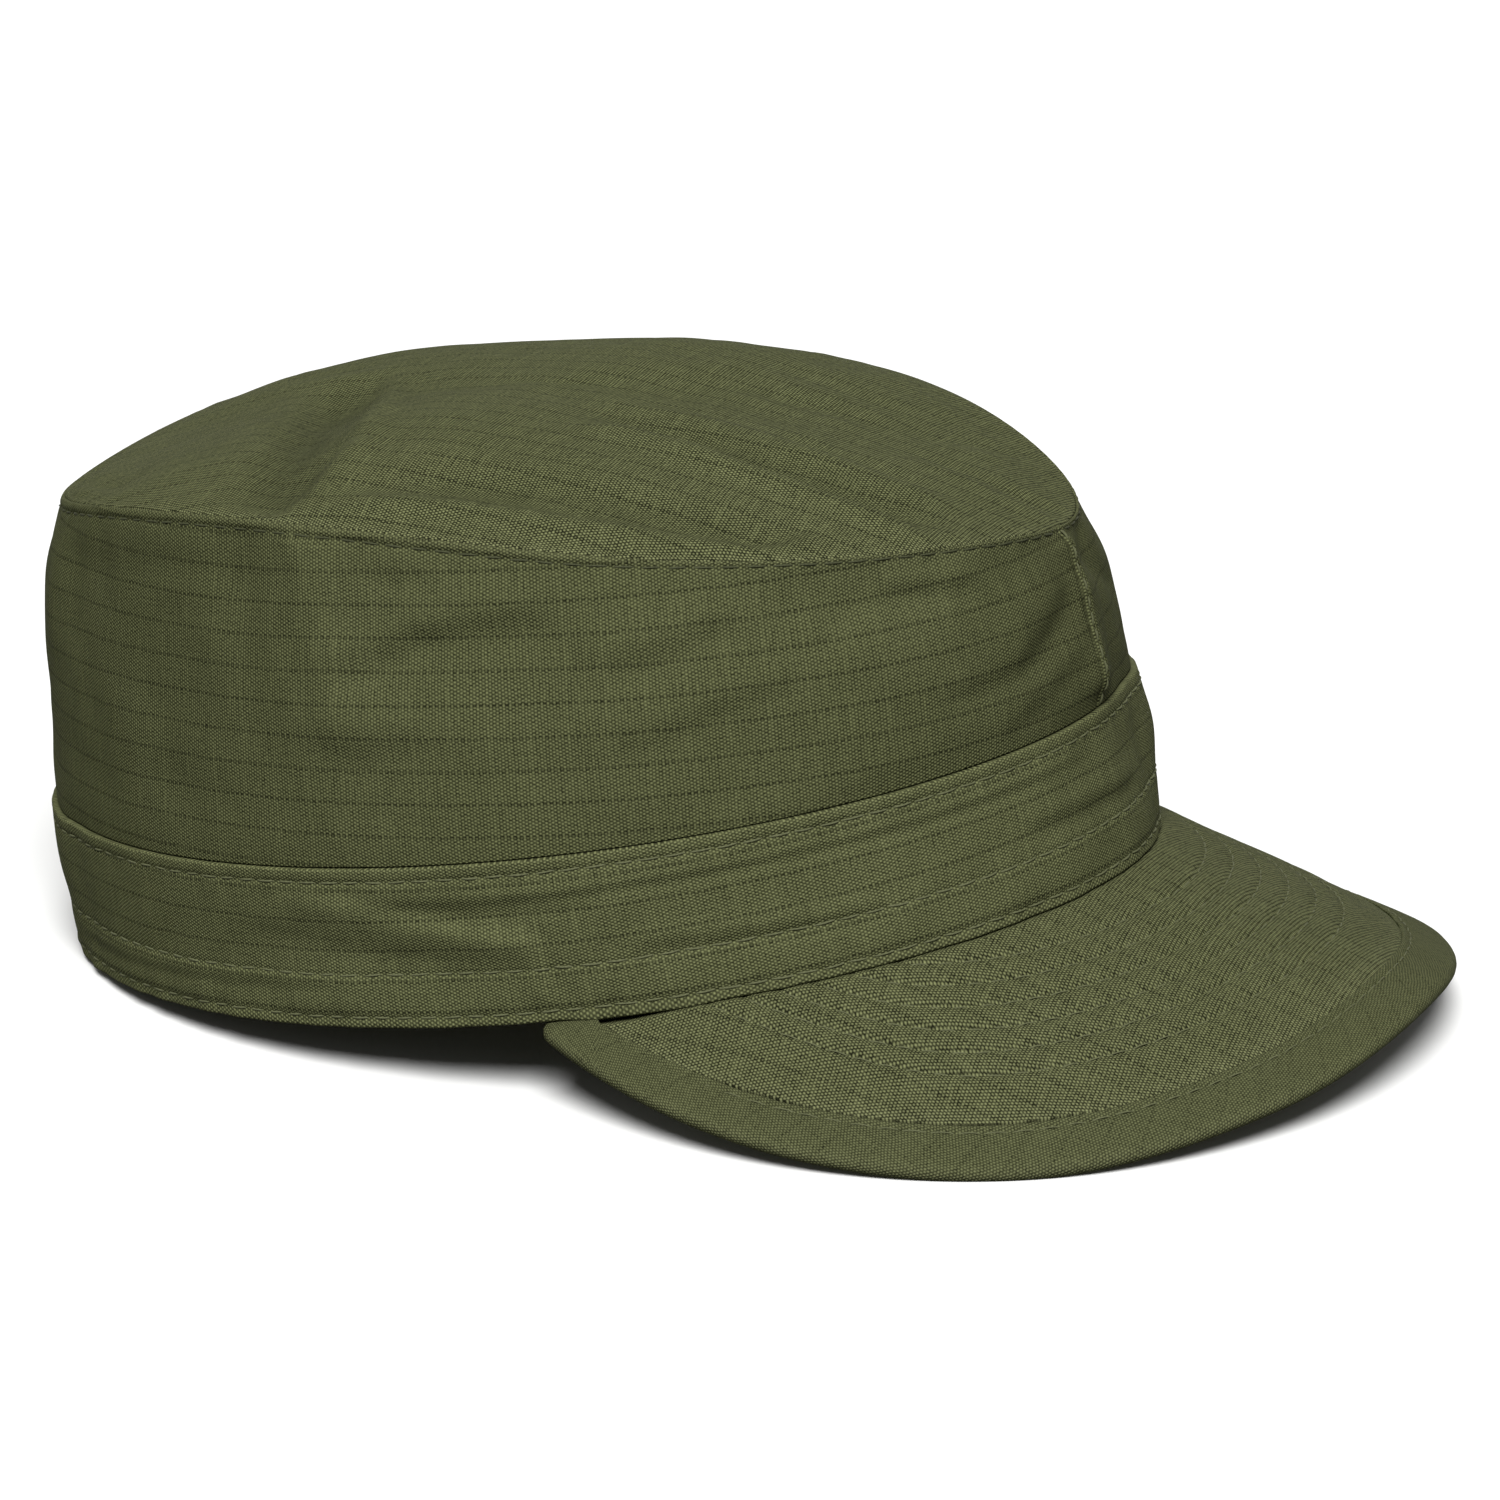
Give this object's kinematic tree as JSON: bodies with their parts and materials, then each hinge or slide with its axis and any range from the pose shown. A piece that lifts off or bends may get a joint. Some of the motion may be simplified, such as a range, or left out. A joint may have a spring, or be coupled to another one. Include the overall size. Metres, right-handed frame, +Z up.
{
  "type": "field cap",
  "caption": "Soft cloth field cap with a low oval crown, domed top panel, turned-up band and a curved, stitched peak with a bound edge, lying on a flat surface.",
  "frame": {"origin": "middle of the cap's footprint box, on the surface that it lies on", "axes": "-Y forward over the peak, +X towards the wearer's left, +Z up"},
  "size_m": [0.19, 0.265, 0.1079],
  "materials": {
    "crown_cloth": "matt olive ripstop",
    "band_cloth": "matt olive ripstop",
    "peak_cloth": "matt olive ripstop over a stiffener",
    "binding_cloth": "matt olive bias strip"
  },
  "bodies": {
    "root": {"crown_top": "crown_cloth", "crown_side_right": "crown_cloth", "crown_side_left": "crown_cloth", "crown_band": "band_cloth", "peak": "peak_cloth", "peak_binding": "binding_cloth"}
  },
  "joints": []
}
